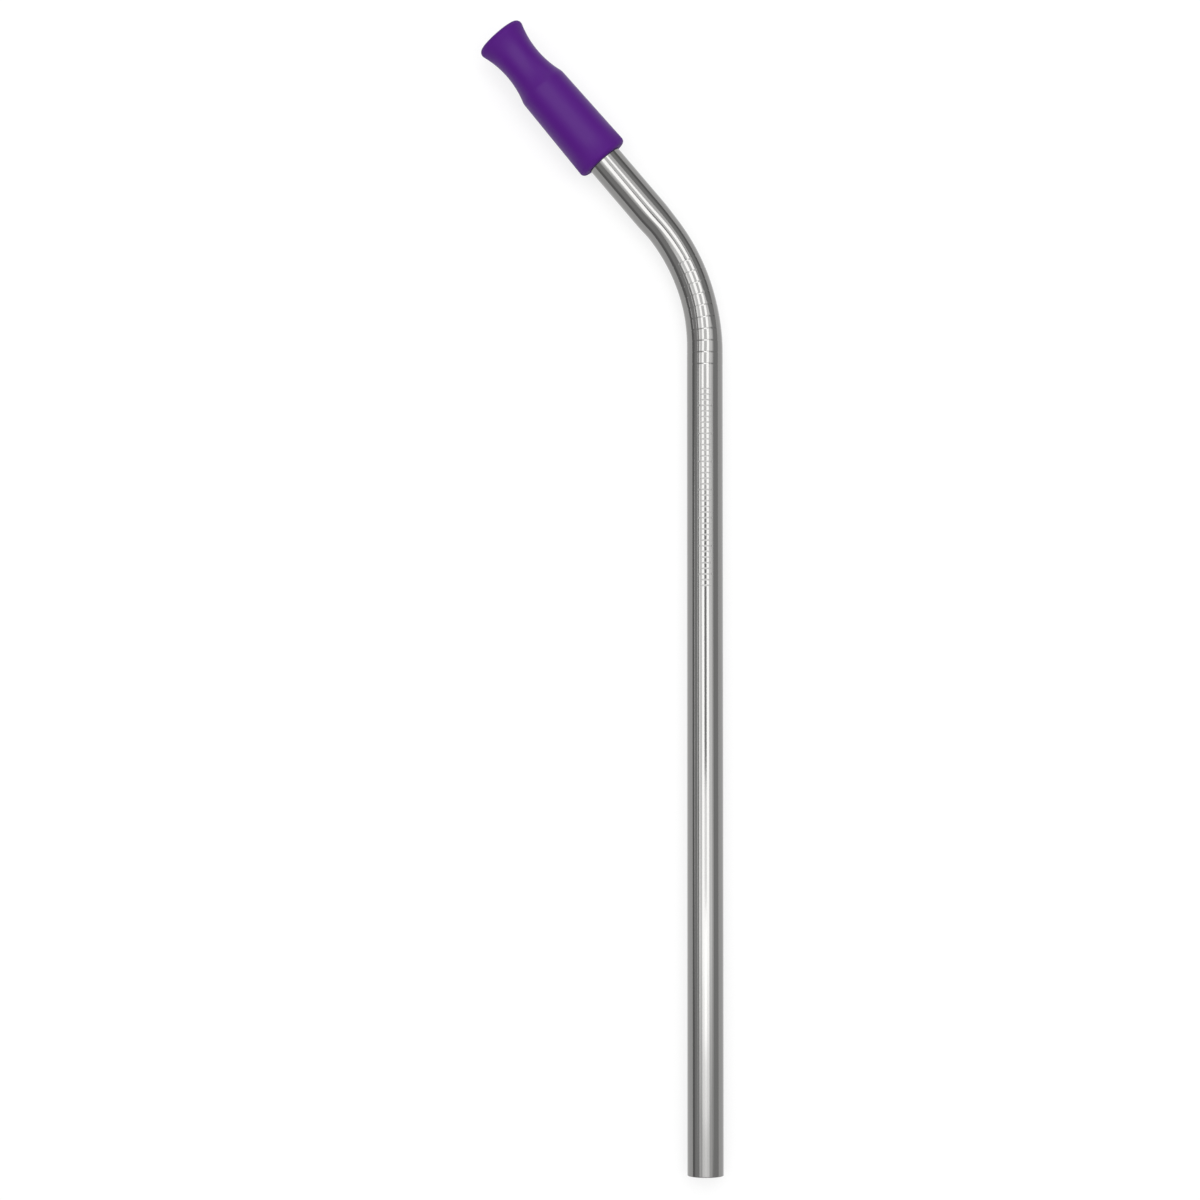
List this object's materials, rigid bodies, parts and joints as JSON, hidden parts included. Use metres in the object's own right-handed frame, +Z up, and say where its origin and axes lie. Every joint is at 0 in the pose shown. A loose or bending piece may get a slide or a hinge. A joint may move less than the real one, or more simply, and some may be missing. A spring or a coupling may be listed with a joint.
{
  "type": "drinking straw",
  "caption": "Bent stainless steel drinking straw with a soft silicone tip on its short upper leg, lying at rest.",
  "frame": {"origin": "centre of the straw's bounding box, on the surface that it lies on", "axes": "+Z up; +Y along the lower leg, from its open end towards the bend; the upper leg turns off towards -X"},
  "size_m": [0.054, 0.2558, 0.0138],
  "materials": {
    "steel": "drawn and polished, with fine lines along the tube",
    "silicone": "matt moulded silicone"
  },
  "bodies": {
    "root": {"steel_tube": "steel", "silicone_tip": "silicone"}
  },
  "joints": []
}
